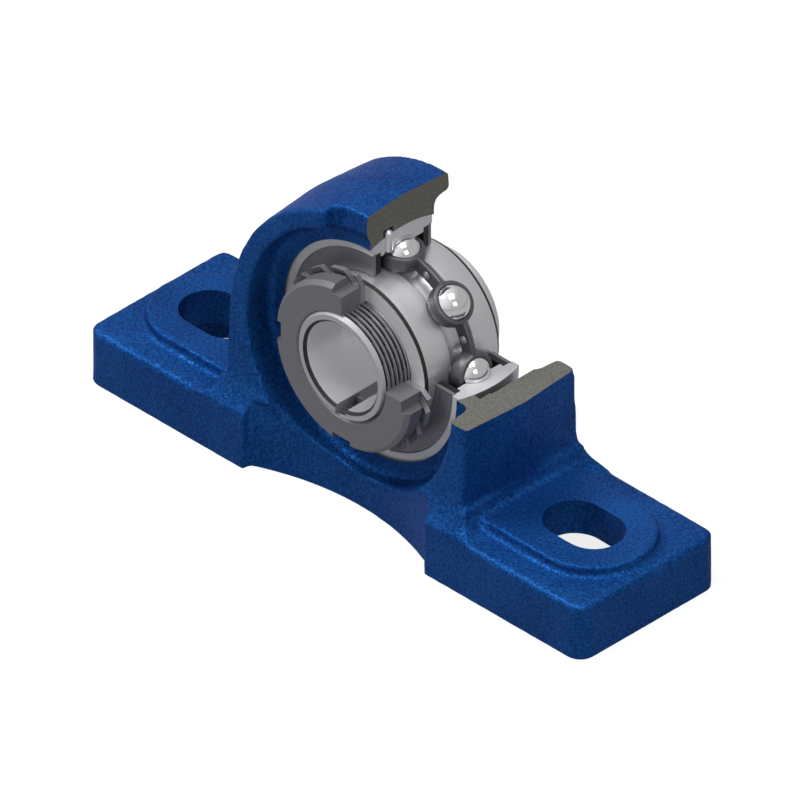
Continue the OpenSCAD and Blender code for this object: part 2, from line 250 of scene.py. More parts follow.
def block(low: Sequence[float], high: Sequence[float]) -> bpy.types.Mesh:
    """Box, as a cutting tool or a slab.

    Args:
        low: its lowest corner in millimetres.
        high: its highest corner in millimetres.

    Returns:
        The mesh, in metres.
    """
    mesh = bpy.data.meshes.new("block")
    work = bmesh.new()
    bmesh.ops.create_cube(work, size=1)
    low, high = Vector(low) * MM, Vector(high) * MM
    for corner in work.verts:
        corner.co = Vector(
            [(low[i] + high[i]) / 2 + corner.co[i] * (high[i] - low[i]) for i in range(3)]
        )
    work.to_mesh(mesh)
    work.free()
    return mesh


def into_scene(name: str, data: bpy.types.ID) -> bpy.types.Object:
    """Makes an object of its data and links it to the scene.

    Args:
        name: name of the object.
        data: its mesh, camera or light.

    Returns:
        The object.
    """
    item = bpy.data.objects.new(name, data)
    bpy.context.scene.collection.objects.link(item)
    return item


def places_of(mesh: bpy.types.Mesh) -> Points:
    """Reads the places of a mesh's points.

    Args:
        mesh: the mesh.

    Returns:
        Array with one place in metres in each row.
    """
    places = np.zeros(len(mesh.vertices) * 3)
    mesh.vertices.foreach_get("co", places)
    return places.reshape(-1, 3)


class Cut(Enum):
    """How one mesh works on another."""

    AWAY = "DIFFERENCE"
    JOIN = "UNION"
    KEEP = "INTERSECT"


def worked(mesh: bpy.types.Mesh, tool: bpy.types.Mesh, how: Cut, finish: int = 0) -> bpy.types.Mesh:
    """Mesh after one boolean step with a tool.

    Args:
        mesh: the mesh that is worked on.
        tool: the mesh that cuts it or is joined to it.
        how: which boolean step.
        finish: number of the finish on the faces that the tool leaves.

    Returns:
        A new mesh.
    """
    for item in (mesh, tool):
        for _ in range(len(item.materials), SLOTS):
            item.materials.append(None)
    tool.polygons.foreach_set("material_index", np.full(len(tool.polygons), finish, np.int32))
    base, cutter = into_scene("base", mesh), into_scene("cutter", tool)
    step = base.modifiers.new("step", "BOOLEAN")
    step.operation = how.value
    step.solver = "MANIFOLD"
    step.object = cutter
    graph = bpy.context.evaluated_depsgraph_get()
    made = bpy.data.meshes.new_from_object(base.evaluated_get(graph))
    for item in (base, cutter):
        bpy.data.objects.remove(item)
    return made


def linear(colour: str) -> tuple[float, float, float, float]:
    """Linear colour of an sRGB hex value such as #1F5296."""
    levels = [int(colour[i : i + 2], 16) / 255 for i in (1, 3, 5)]
    return (*[v / 12.92 if v <= 0.04045 else ((v + 0.055) / 1.055) ** 2.4 for v in levels], 1.0)


def per_mm(size: float) -> float:
    """Texture scale at which a pattern on coordinates in metres repeats about every size mm."""
    return 1 / (size * MM)


def add(tree: Tree, kind: str, values: dict | None = None, links: dict | None = None) -> Node:
    """Adds a node with its settings and links.

    Args:
        tree: node tree that gets the node.
        kind: kind of node, without its ShaderNode prefix.
        values: settings of the node and of its sockets, by name or number.
        links: output that feeds each socket, by name or number.

    Returns:
        The new node.
    """
    node = tree.nodes.new("ShaderNode" + kind)
    for key, value in (values or {}).items():
        if isinstance(key, str) and key not in node.inputs:
            setattr(node, key, value)
        else:
            node.inputs[key].default_value = value
    for key, source in (links or {}).items():
        tree.links.new(source, node.inputs[key])
    return node


@dataclass(frozen=True)
class Finish:
    """A surface finish: its name and what it does to light."""

    name: str
    colour: str
    roughness: float = 0.5
    metallic: float = 0.0

    def material(self) -> bpy.types.Material:
        """Makes the finish's material, or finds it where it is made already.

        Returns:
            The material.
        """
        found = bpy.data.materials.get(self.name)
        if found:
            return found
        made = bpy.data.materials.new(self.name)
        made.use_nodes = True
        made.diffuse_color = linear(self.colour)
        tree = made.node_tree
        shader = tree.nodes["Principled BSDF"]
        shader.inputs["Base Color"].default_value = linear(self.colour)
        shader.inputs["Roughness"].default_value = self.roughness
        shader.inputs["Metallic"].default_value = self.metallic
        spot = add(tree, "TexCoord").outputs["Object"]
        self.detail(tree, shader, spot)
        return made

    def detail(self, tree: Tree, shader: Node, spot: Socket) -> None:
        """Adds the finish's pattern. A plain finish has none.

        Args:
            tree: node tree of the material.
            shader: its shader.
            spot: place on the piece, in metres.
        """

    def tones(
        self,
        tree: Tree,
        shader: Node,
        pattern: Socket,
        low: str,
        start: float = NOISE_LOW,
        end: float = NOISE_HIGH,
    ) -> None:
        """Colours the finish by a pattern, from a low tone to the finish's own colour.

        Args:
            tree: node tree of the material.
            shader: its shader.
            pattern: the pattern.
            low: the low tone.
            start: pattern's level that gives the low tone.
            end: pattern's level that gives the finish's colour.
        """
        share = add(tree, "MapRange", {"From Min": start, "From Max": end}, {"Value": pattern})
        tones = {"data_type": "RGBA", 6: linear(low), 7: linear(self.colour)}
        mix = add(tree, "Mix", tones, {0: share.outputs[0]})
        tree.links.new(mix.outputs[2], shader.inputs["Base Color"])

    def relief(self, tree: Tree, shader: Node, pattern: Socket, depth: float) -> None:
        """Raises the finish by a pattern, depth mm from its lowest to its highest."""
        bump = add(tree, "Bump", {"Strength": 1.0, "Distance": depth * MM}, {"Height": pattern})
        tree.links.new(bump.outputs["Normal"], shader.inputs["Normal"])

    def streaks(self, tree: Tree, shader: Node, pattern: Socket, low: float, high: float) -> None:
        """Makes the finish duller or glossier by a pattern.

        Args:
            tree: node tree of the material.
            shader: its shader.
            pattern: the pattern.
            low: what the roughness gains where the pattern is low.
            high: what it gains where the pattern is high.
        """
        span = {"From Min": NOISE_LOW, "From Max": NOISE_HIGH}
        gains = {"To Min": self.roughness + low, "To Max": self.roughness + high}
        gloss = add(tree, "MapRange", span | gains, {"Value": pattern})
        tree.links.new(gloss.outputs[0], shader.inputs["Roughness"])


@dataclass(frozen=True)
class CastPaint(Finish):
    """Enamel sprayed on a sand casting: the sand's grain shows through as soft pebbles."""

    low: str = "#103C7B"
    gloss: str = "#3F7FE0"
    gloss_level: float = 0.1
    grain: float = 0.56
    depth: float = 0.2
    drift: float = 16.0
    drift_share: float = 0.25

    def detail(self, tree: Tree, shader: Node, spot: Socket) -> None:
        """Pebbles of the sand's grain and slow drifts of tone, under a gloss tinted by the pigment.

        Args:
            tree: node tree of the material.
            shader: its shader.
            spot: place on the piece, in metres.
        """
        shader.inputs["Specular IOR Level"].default_value = self.gloss_level
        shader.inputs["Specular Tint"].default_value = linear(self.gloss)
        pebbles = {"Scale": per_mm(self.grain), "Detail": 2.0, "Roughness": 0.55}
        sand = add(tree, "TexNoise", pebbles, {"Vector": spot}).outputs["Fac"]
        clouds = {"Scale": per_mm(self.drift), "Detail": 2.0}
        slow = add(tree, "TexNoise", clouds, {"Vector": spot}).outputs["Fac"]
        part = add(tree, "Math", {"operation": "MULTIPLY", 1: self.drift_share}, {0: slow}).outputs[0]
        both = {"operation": "MULTIPLY_ADD", 1: 1 - self.drift_share}
        tone = add(tree, "Math", both, {0: sand, 2: part}).outputs[0]
        self.tones(tree, shader, tone, self.low, 0.4, 0.6)
        self.relief(tree, shader, sand, self.depth)
        self.streaks(tree, shader, sand, 0.08, -0.08)


@dataclass(frozen=True)
class BareIron(Finish):
    """Grey cast iron, cut or turned and left bare: dull, with dark flakes of graphite."""

    low: str = "#5A5A55"
    grain: float = 0.4
    depth: float = 0.05

    def detail(self, tree: Tree, shader: Node, spot: Socket) -> None:
        """Flakes of several sizes, which also pit the surface.

        Args:
            tree: node tree of the material.
            shader: its shader.
            spot: place on the piece, in metres.
        """
        flecks = {"Scale": per_mm(self.grain), "Detail": 3.0, "Roughness": 0.65}
        flakes = add(tree, "TexNoise", flecks, {"Vector": spot}).outputs["Fac"]
        self.tones(tree, shader, flakes, self.low, 0.36, 0.62)
        self.relief(tree, shader, flakes, self.depth)


@dataclass(frozen=True)
class WorkedSteel(Finish):
    """Steel that was turned or ground round the shaft: fine rings that streak its gloss."""

    axis_height: float = 36.5
    mark: float = 0.22
    depth: float = 0.002

    def detail(self, tree: Tree, shader: Node, spot: Socket) -> None:
        """Rings: noise that changes with the distance from the shaft and the place along it.

        Args:
            tree: node tree of the material.
            shader: its shader.
            spot: place on the piece, in metres.
        """
        on_axis = {"Location": (0, 0, -self.axis_height * MM), "Scale": (1, 0, 1)}
        centred = add(tree, "Mapping", on_axis, {"Vector": spot})
        out = add(tree, "VectorMath", {"operation": "LENGTH"}, {0: centred.outputs[0]})
        parts = add(tree, "SeparateXYZ", {}, {0: spot})
        rings = add(tree, "CombineXYZ", {}, {0: out.outputs["Value"], 1: parts.outputs[1]})
        feed = {"noise_dimensions": "2D", "Scale": per_mm(self.mark), "Detail": 3.0}
        marks = add(tree, "TexNoise", feed, {"Vector": rings.outputs[0]}).outputs["Fac"]
        self.relief(tree, shader, marks, self.depth)
        self.streaks(tree, shader, marks, -0.05, 0.06)


@dataclass(frozen=True)
class GrainedSkin(Finish):
    """Pressed, phosphated or moulded surface: an even skin with a fine, dull grain."""

    low: str = "#79787E"
    grain: float = 0.3
    depth: float = 0.006

    def detail(self, tree: Tree, shader: Node, spot: Socket) -> None:
        """A fine grain in the tone and the relief.

        Args:
            tree: node tree of the material.
            shader: its shader.
            spot: place on the piece, in metres.
        """
        grit = {"Scale": per_mm(self.grain), "Detail": 2.0}
        skin = add(tree, "TexNoise", grit, {"Vector": spot}).outputs["Fac"]
        self.tones(tree, shader, skin, self.low)
        self.relief(tree, shader, skin, self.depth)


class Finishes:
    """Every finish of the unit, named for its material and how it was made."""

    # Deep blue with a soft blue sheen where it turns from the light, and a pebbled grain
    PAINT = CastPaint("blue_enamel_on_sand_casting", "#205BA4", roughness=0.36, metallic=0.35)
    # Quite matt, warm grey, speckled with graphite
    SAWN = BareIron("sawn_grey_iron", "#7C7B74", roughness=0.8)
    # The same iron with a dull metal gloss, where the seat and the underside were machined
    TURNED_IRON = BareIron(
        "turned_grey_iron", "#7B7B79", roughness=0.5, metallic=0.6, low="#5F5F5D", grain=0.55
    )
    # Clean bright steel with a soft gloss drawn out round the shaft
    GROUND = WorkedSteel("ground_bearing_steel", "#D2D2D6", roughness=0.34, metallic=0.85)
    # Painted light: a little paler than the ground steel, so that the inner ring's raceway reads as the
    # brightest turned face
    RACE_PAINTED_LIGHT = WorkedSteel("inner_ring_steel_painted_light", "#DCDCE0", roughness=0.34, metallic=0.75)
    # Painted shade: the steel duller and darker on the thread than on the sleeve, which stands in for
    # the shade among the cut flanks
    THREAD_PAINTED_SHADE = WorkedSteel("cut_thread_painted_shade", "#8E8E94", roughness=0.48, metallic=0.6, mark=0.3, depth=0.004)
    # Smooth, and painted light: a paler tone of the sleeve's steel in the bore, which brightens the bore
    # that lies in shade. Its marks are drawn as wide as they need to show without crossing rings
    BORE_PAINTED_LIGHT = WorkedSteel(
        "bored_steel_painted_light", "#F6F6F9", roughness=0.34, metallic=0.7, mark=0.8, depth=0.0002
    )
    # Painted light: the bearing steel almost white and even on the rings' end faces, which brightens
    # faces that lie in shade
    FACES_PAINTED_LIGHT = WorkedSteel("faced_steel_painted_light", "#F0F0F3", roughness=0.45, metallic=0.15, mark=0.3)
    # Painted shade: the turned steel in a softer, greyer tone on the sleeve's front end and lead
    # chamfer, which tones down a face that lies in full light
    END_PAINTED_SHADE = WorkedSteel("turned_end_painted_shade", "#BCBCC1", roughness=0.45, metallic=0.4, mark=0.3)
    # Pale and even, with faint tool marks, where the ring was cut open
    CUT = WorkedSteel("cut_bearing_steel", "#D6D6DB", roughness=0.45, metallic=0.15, mark=0.3)
    # Painted shade: dead black on chamfers and thread roots, which draws them as thin dark lines of
    # shade
    BLACK_PAINTED_SHADE = Finish("painted_shade_on_chamfers_and_roots", "#070708", roughness=0.6)
    # Bright steel with clear tool marks round the shaft
    TURNED = WorkedSteel(
        "turned_mild_steel", "#D0D0D4", roughness=0.36, metallic=0.85, mark=0.3, depth=0.004
    )
    # Even middle grey with hardly any gloss
    PHOSPHATE = GrainedSkin("phosphated_steel", "#828187", roughness=0.5, metallic=0.4)
    # Painted light: the same phosphate a touch lighter on the shields and the washer, which brightens
    # sheet that lies in shade
    SHEET_PAINTED_LIGHT = GrainedSkin(
        "phosphated_sheet_painted_light", "#85848B", roughness=0.5, metallic=0.4, low="#7C7B82"
    )
    # Painted highlight: a lighter tone on the washer's sheared outer edges, where the tab ends catch the
    # light, and on its cut
    EDGE_PAINTED_HIGHLIGHT = GrainedSkin(
        "sheared_edge_painted_highlight", "#A9A9AF", roughness=0.45, metallic=0.5, low="#9A9AA0", grain=0.35
    )
    # Dark and satin, so that the balls stand out against it
    SHEET = GrainedSkin(
        "pressed_cage_steel", "#67676C", roughness=0.42, metallic=0.5, low="#5B5B60", grain=0.35
    )
    # Plain drawn wire with a soft glint on each head
    RIVET = Finish("rivet_wire", "#97979C", roughness=0.38, metallic=0.7)
    # Bright, with one clear glint
    PIN = Finish("bright_pin_steel", "#D9D9DC", roughness=0.3, metallic=0.8)
    # A near mirror, which shows the lamps and the dark cage
    CHROME = Finish("polished_chrome_steel", "#E6E6E8", roughness=0.08, metallic=1.0)
    # Almost black and dull
    RUBBER = GrainedSkin("moulded_nitrile_rubber", "#17171A", roughness=0.6, low="#101013", grain=0.4)


@dataclass
class Shaft:
    """The shaft's axis and the quarter that is cut open, shared by all sub-assemblies.

    The field far is how far a cutting tool reaches, which is past everything.
    """

    height: float = 36.5
    far: float = 120.0

    @classmethod
    def of(cls, frame: dict) -> "Shaft":
        """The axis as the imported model's joint between the rings gives it."""
        joint = next(j for j in frame["joints"] if j["name"] == "inner_spin")
        return cls(height=joint["pos_m"][2] / MM)

    def quarter(self) -> bpy.types.Mesh:
        """The block that is cut away: right of the shaft and above it."""
        return block((0, -self.far, self.height), (self.far, self.far, self.height + self.far))

    def cut_open(self, mesh: bpy.types.Mesh, finish: int = 0) -> bpy.types.Mesh:
        """A mesh without the quarter that is open to view, with the numbered finish on the cut."""
        return worked(mesh, self.quarter(), Cut.AWAY, finish)


def dress(
    mesh: bpy.types.Mesh,
    finishes: Sequence[Finish],
    name: str,
    body: str,
    node: str,
    crease: float = 32.0,
) -> bpy.types.Object:
    """Makes a finished mesh a piece of the unit.

    Args:
        mesh: the mesh, in place.
        finishes: its finishes, in the order of its face numbers.
        name: name of the piece.
        body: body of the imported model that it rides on.
        node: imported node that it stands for.
        crease: angle in degrees from which an edge stays sharp.

    Returns:
        The piece.
    """
    bands = np.zeros(len(mesh.polygons), np.int32)
    mesh.polygons.foreach_get("material_index", bands)
    mesh.materials.clear()
    for finish in finishes:
        mesh.materials.append(finish.material())
    mesh.polygons.foreach_set("material_index", bands)
    mesh.shade_smooth()
    mesh.set_sharp_from_angle(angle=math.radians(crease))
    mesh.name = name
    piece = into_scene(name, mesh)
    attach(piece, body)
    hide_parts(node)
    LOG.info("%s: %d faces on %s", name, len(mesh.polygons), body)
    return piece


@dataclass
class Housing:
    """The cast housing: the solid melted to a sand casting, machined and cut open.

    Its finishes are 0 paint, 1 sawn iron and 2 turned iron.
    """

    shaft: Shaft
    voxel: float = 0.5
    melts: int = 4
    melt_share: float = 0.5
    allowance: float = 3.0
    plug_radius: float = 28.4
    core_over: float = 0.5
    seat_radius: float = 26.03
    seat_half: float = 9.1
    seat_lead: float = 1.5
    groove_middle: float = -3.9
    groove_width: float = 2.8
    groove_depth: float = 1.3
    loading_half: float = 8.7
    loading_depth: float = 1.7
    mouth_fillet: float = 2.0
    bolt_spacing: float = 103.0
    slot_length: float = 18.5
    slot_width: float = 13.0
    pad_height: float = 15.2
    plate_under: float = 7.0
    skin_height: float = 0.018
    skin_inset: float = 0.07
    skin_wave: tuple[float, float] = (1.8, 5.0)
    skin_waves: int = 28
    skin_seed: int = 7

    def build(self, frame: dict) -> None:
        """Casts, machines, cuts and dresses the housing.

        Args:
            frame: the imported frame, which holds the solid.
        """
        mesh = self.sand_skin(self.melted(self.pattern(frame["nodes"]["housing"].data)))
        mesh = self.shaft.cut_open(self.machined(mesh), finish=1)
        dress(
            mesh,
            (Finishes.PAINT, Finishes.SAWN, Finishes.TURNED_IRON),
            "housing_casting",
            "housing",
            "housing",
            crease=40,
        )

    def pattern(self, solid: bpy.types.Mesh) -> bpy.types.Mesh:
        """The foundry's pattern: whole on both sides, with a plugged seat and a thicker base.

        The left half of the solid is mirrored, its underside is lowered by the machining
        allowance, and the seat is plugged flush with the bottoms of the mouths.

        Args:
            solid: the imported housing.

        Returns:
            The pattern.
        """
        work = bmesh.new()
        work.from_mesh(solid)
        bmesh.ops.remove_doubles(work, verts=work.verts, dist=NEAR)
        everything = list(work.verts) + list(work.edges) + list(work.faces)
        bmesh.ops.bisect_plane(
            work, geom=everything, dist=NEAR, plane_co=(0, 0, 0), plane_no=(1, 0, 0), clear_outer=True
        )
        flat = [f for f in work.faces if all(abs(v.co.x) < NEAR for v in f.verts)]
        bmesh.ops.delete(work, geom=flat, context="FACES")
        bmesh.ops.triangulate(work, faces=work.faces)
        half = bpy.data.meshes.new("half")
        work.to_mesh(half)
        work.free()
        places = places_of(half)
        places[places[:, 2] < NEAR, 2] = -self.allowance * MM
        corners = np.zeros(len(half.loops), np.int32)
        half.loops.foreach_get("vertex_index", corners)
        corners = corners.reshape(-1, 3)
        whole = bpy.data.meshes.new("pattern")
        whole.from_pydata(
            np.concatenate((places, places * (-1, 1, 1))).tolist(),
            [],
            np.concatenate((corners, corners[:, ::-1] + len(places))).tolist(),
        )
        close_up(whole)
        radius, half_width = self.plug_radius, self.seat_half
        plug = np.array([(0, -half_width), (radius, -half_width), (radius, half_width), (0, half_width)])
        whole = worked(whole, mesh_of("plug", [turned(plug, self.shaft.height, 128)]), Cut.JOIN)
        for side in (-1, 1):
            core = self.slot_core(side, self.core_over, self.plate_under, self.pad_height)
            whole = worked(whole, core, Cut.JOIN)
        return whole

    def slot_core(self, side: int, over: float, low: float, high: float) -> bpy.types.Mesh:
        """The round-ended core of a bolt slot.

        Args:
            side: -1 for the left slot and 1 for the right one.
            over: how far it stands out past the slot all round.
            low: height of its underside.
            high: height of its top.

        Returns:
            The mesh.
        """
        radius = self.slot_width / 2 + over
        centre = side * self.bolt_spacing / 2
        half = (self.slot_length - self.slot_width) / 2
        plan = np.concatenate((
            arc((centre + half, 0), radius, -90, 90, 32), arc((centre - half, 0), radius, 90, 270, 32)
        ))
        middle = np.array([[centre, 0.0]])
        rings = [(plan, high), (plan, low), (plan * 0 + middle, low), (plan * 0 + middle, high)]
        grid = np.stack([np.column_stack((ring, np.full(len(ring), z))) for ring, z in rings], axis=1)
        return mesh_of("slot_core", [grid])

    def melted(self, mesh: bpy.types.Mesh) -> bpy.types.Mesh:
        """The pattern on an even net of small faces, with its edges melted round.

        Each pass moves every point by melt_share of the way to the middle of its neighbours.

        Args:
            mesh: the pattern.

        Returns:
            The raw casting.
        """
        item = into_scene("pattern", mesh)
        net = item.modifiers.new("net", "REMESH")
        net.mode = "VOXEL"
        net.voxel_size = self.voxel * MM
        graph = bpy.context.evaluated_depsgraph_get()
        made = bpy.data.meshes.new_from_object(item.evaluated_get(graph))
        bpy.data.objects.remove(item)
        ends = np.zeros(len(made.edges) * 2, np.int32)
        made.edges.foreach_get("vertices", ends)
        one, other = ends.reshape(-1, 2).T
        places = places_of(made)
        count = len(places)
        degree = np.bincount(one, minlength=count) + np.bincount(other, minlength=count)
        for _ in range(self.melts):
            sums = [
                np.bincount(one, places[other, i], count) + np.bincount(other, places[one, i], count)
                for i in range(3)
            ]
            places += self.melt_share * (np.stack(sums, axis=1) / degree[:, None] - places)
        made.vertices.foreach_set("co", places.ravel())
        made.update()
        return made

    def sand_skin(self, mesh: bpy.types.Mesh) -> bpy.types.Mesh:
        """Gives the casting its uneven skin.

        A point moves along its normal by a sum of plane waves in seeded random directions,
        whose lengths lie between the two lengths of skin_wave, and inwards by skin_inset.

        Args:
            mesh: the raw casting, which is changed.

        Returns:
            The same mesh.
        """
        places = places_of(mesh)
        normals = np.zeros(len(places) * 3)
        mesh.vertex_normals.foreach_get("vector", normals)
        rng = np.random.default_rng(self.skin_seed)
        waves = self.skin_waves
        direction = rng.normal(size=(waves, 3))
        direction /= np.linalg.norm(direction, axis=1)[:, None]
        length = rng.uniform(*self.skin_wave, size=waves) * MM
        phase = rng.uniform(0, FULL_TURN, size=waves)
        height = np.cos(places @ (direction / length[:, None] * FULL_TURN).T + phase).sum(1)
        height = height * self.skin_height * MM * math.sqrt(2 / waves) - self.skin_inset * MM
        mesh.vertices.foreach_set("co", (places + normals.reshape(-1, 3) * height[:, None]).ravel())
        mesh.update()
        return mesh

    def seat_tool(self) -> bpy.types.Mesh:
        """The turning tool's sweep: the spherical seat, its grease groove and the edges' chamfers.

        Returns:
            The mesh.
        """
        radius, half = self.seat_radius, self.seat_half
        edge = math.degrees(math.asin(half / radius))
        low = self.groove_middle - self.groove_width / 2
        high = self.groove_middle + self.groove_width / 2
        sweep = arc((0, 0), radius, -edge, edge, 160)
        below, above = sweep[sweep[:, 1] < low], sweep[sweep[:, 1] > high]
        bottom = radius + self.groove_depth
        out, lead = radius * math.cos(math.radians(edge)), self.seat_lead
        profile = np.concatenate((
            [[0, -half - lead], [out + lead, -half - lead]],
            below,
            [[math.sqrt(radius**2 - low**2), low], [bottom, low], [bottom, high],
             [math.sqrt(radius**2 - high**2), high]],
            above,
            [[out + lead, half + lead], [0, half + lead]],
        ))
        return mesh_of("seat_tool", [turned(profile, self.shaft.height, 256)])

    def machined(self, mesh: bpy.types.Mesh) -> bpy.types.Mesh:
        """Mills the underside and the loading slots, cuts the bolt slots and turns the seat.

        Args:
            mesh: the casting.

        Returns:
            The machined housing.
        """
        far = self.shaft.far
        mesh = worked(mesh, block((-far, -far, -far), (far, far, 0)), Cut.AWAY, finish=2)
        for side in (-1, 1):
            # The cut goes 1 mm past the foot on both sides
            through = self.slot_core(side, 0, -1, self.pad_height + 1)
            mesh = worked(mesh, through, Cut.AWAY)
        mesh = worked(mesh, self.seat_tool(), Cut.AWAY, finish=2)
        deep = self.seat_radius + self.loading_depth
        start, end = self.groove_middle + self.groove_width / 2, self.seat_half + self.mouth_fillet
        bar = np.array([(0, start), (deep, start), (deep, end), (0, end)])
        low, high = self.shaft.height - self.loading_half, self.shaft.height + self.loading_half
        tool = worked(
            mesh_of("slot_bar", [turned(bar, self.shaft.height, 256)]),
            block((-far, -far, low), (far, far, high)),
            Cut.KEEP,
        )
        return worked(mesh, tool, Cut.AWAY, finish=2)


@dataclass
class BallBearing:
    """The bearing insert: two rings, eight balls, two shields, two seals and a pin."""

    shaft: Shaft
    ring_radius: float = 26.0
    ring_half: float = 8.5
    inner_half: float = 10.5
    count: int = 8
    pitch: float = 19.5
    ball: float = 3.969
    ball_gap: float = 0.03
    race: float = 4.099
    shoulder: float = 2.05
    mouth_radius: float = 22.621
    shield_bite: float = 0.2
    shield_out: float = 8.2
    shield_in: float = 7.45
    seal_in: float = 6.05
    lip_gap: float = 0.1
    lip_depth: float = 0.45
    lip_width: float = 0.25
    fit: float = 0.02
    edge_skip: float = 0.5
    mouth_break: float = 0.15
    shoulder_break: float = 0.2
    taper_front: float = 12.5
    taper_ratio: float = 12.0
    chamfer: float = 0.55
    dark_chamfer_run: float = 0.9
    pin_place: float = -3.9
    pin_radius: float = 1.0
    pin_foot: float = 22.15
    pin_head: float = 26.08
    hole_below: float = 3.0
    hole_above: float = 2.0
    steps: int = 192

    def build(self) -> None:
        """Makes every piece of the insert."""
        self.outer_ring()
        self.inner_ring()
        self.balls()
        for side, name in ((-1, "front"), (1, "rear")):
            self.shield(side, name)
            self.seal(side, name)
        self.locating_pin()

    def outer_ring(self) -> None:
        """Outer ring: a ball-shaped outside, a raceway, and grooves for shields and seals.

        Its finishes are 0 ground, 1 faced, painted near white as light on the end faces, and 2 cut open.
        The outside stops edge_skip degrees short of its edge, which breaks the edge.
        """
        edge = math.degrees(math.asin(self.ring_half / self.ring_radius))
        outside = arc((0, 0), self.ring_radius, self.edge_skip - edge, edge - self.edge_skip, 40)
        shoulder = self.pitch + self.shoulder
        centre = self.pitch + self.ball + self.ball_gap - self.race
        reach = math.degrees(math.acos((shoulder - centre) / self.race))
        raceway = arc((centre, 0), self.race, reach, -reach, 36)
        mouth, bite = self.mouth_radius, self.mouth_radius + self.shield_bite
        side = [
            (self.ring_radius * math.cos(math.radians(edge)), self.ring_half),
            (mouth + self.mouth_break, self.ring_half),
            (mouth, self.ring_half - self.mouth_break),
            (mouth, self.shield_out),
            (bite, self.shield_out),
            (bite, self.shield_in),
            (mouth, self.shield_in),
            (mouth, self.seal_in),
            (shoulder + self.shoulder_break, self.seal_in),
            (shoulder, self.seal_in - self.shoulder_break),
        ]
        back = np.array(side)
        front = back[::-1] * (1, -1)
        profile = np.concatenate((outside, back, raceway, front))
        bands = np.zeros(len(profile), int)
        bands[[len(outside), len(profile) - 2]] = 1
        mesh = mesh_of("outer", [turned(profile, self.shaft.height, self.steps)], bands)
        low, high = self.pin_foot - self.hole_below, self.ring_radius + self.hole_above
        hole = self.upright_pin(self.pin_radius + self.fit, low, high)
        mesh = self.shaft.cut_open(worked(mesh, hole, Cut.AWAY), finish=2)
        finishes = (Finishes.GROUND, Finishes.FACES_PAINTED_LIGHT, Finishes.CUT)
        dress(mesh, finishes, "outer_ring_ground", "insert", "outer_ring")

    def inner_ring(self) -> None:
        """Inner ring: a raceway outside, a tapered bore, and chamfers at its ends painted black as
        shade.

        Its finishes are 0 ground, painted paler as light, 1 black, painted shade, and 2 faced, painted
        near white as light.
        """
        outer = self.pitch - self.shoulder
        centre = self.pitch - self.ball - self.ball_gap + self.race
        reach = math.degrees(math.acos((centre - outer) / self.race))
        raceway = arc((centre, 0), self.race, 180 + reach, 180 - reach, 36)
        half, edge = self.inner_half, self.chamfer
        bore = [self.taper(y) for y in (half, half - edge, edge - half, -half)]
        tail = np.array([
            (outer, half - self.dark_chamfer_run), (outer - edge, half), (bore[0] + edge, half),
            (bore[1], half - edge), (bore[2], edge - half), (bore[3] + edge, -half),
            (outer - edge, -half), (outer, edge - half),
        ])
        profile = np.concatenate((raceway, tail))
        bands = np.zeros(len(profile), int)
        first = len(raceway)
        # Painted shade: the four chamfers are black
        bands[[first, first + 2, first + 4, first + 6]] = 1
        # Painted light: the two end faces take the near-white faced tone
        bands[[first + 1, first + 5]] = 2
        mesh = mesh_of("inner", [turned(profile, self.shaft.height, self.steps)], bands)
        finishes = (Finishes.RACE_PAINTED_LIGHT, Finishes.BLACK_PAINTED_SHADE, Finishes.FACES_PAINTED_LIGHT)
        dress(mesh, finishes, "inner_ring_ground", "inner", "inner_ring")

    def taper(self, along: float) -> float:
        """Radius of the tapered bore at a place along the shaft."""
        return self.taper_front + (along + self.inner_half) / (2 * self.taper_ratio)

    def balls(self) -> None:
        """Eight polished balls: each a half circle carried round its own axis."""
        half_circle = arc((0, 0), self.ball, -90, 90, 48)
        for number in range(self.count):
            angle = math.radians(360 / self.count * number)
            centre = about_shaft(self.pitch, angle, 0, self.shaft.height)
            mesh = mesh_of("ball", [dome(half_circle, centre, ACROSS_SHAFT, 96)])
            name = f"ball_{number + 1}"
            dress(mesh, (Finishes.CHROME,), f"{name}_polished", name, name, crease=80)

    def shield(self, side: int, name: str) -> None:
        """Pressed steel shield whose rim is crimped into the outer ring.

        Args:
            side: -1 for the front and 1 for the rear.
            name: the side's name.
        """
        inner = self.pitch - self.shoulder + self.lip_gap
        rim = self.mouth_radius + self.shield_bite - self.fit
        profile = rounded([
            (inner, self.shield_in, 0.1), (rim, self.shield_in, 0.15), (rim, self.shield_out, 0.3),
            (inner, self.shield_out, 0.25),
        ]) * (1, side)
        mesh = self.shaft.cut_open(mesh_of("shield", [turned(profile, self.shaft.height, self.steps)]))
        # Painted light: the shield takes the lighter sheet tone
        dress(mesh, (Finishes.SHEET_PAINTED_LIGHT,), f"{name}_shield_pressed", "insert", f"{name}_shield")

    def seal(self, side: int, name: str) -> None:
        """Rubber seal behind the shield, with two lips on the inner ring.

        Args:
            side: -1 for the front and 1 for the rear.
            name: the side's name.
        """
        lip = self.pitch - self.shoulder + self.lip_gap
        root, rim = lip + self.lip_depth, self.mouth_radius - self.fit
        low, high = self.seal_in + self.fit, self.shield_in - self.fit
        middle = (low + high) / 2
        profile = rounded([
            (rim, low, 0.1), (rim, high, 0.1), (root, high, 0.1), (lip, high - self.lip_width, 0.08),
            (root, middle, 0.1), (lip, low + self.lip_width, 0.08), (root, low, 0.1),
        ]) * (1, side)
        mesh = self.shaft.cut_open(mesh_of("seal", [turned(profile, self.shaft.height, self.steps)]))
        dress(mesh, (Finishes.RUBBER,), f"{name}_seal_moulded", "insert", f"{name}_seal")

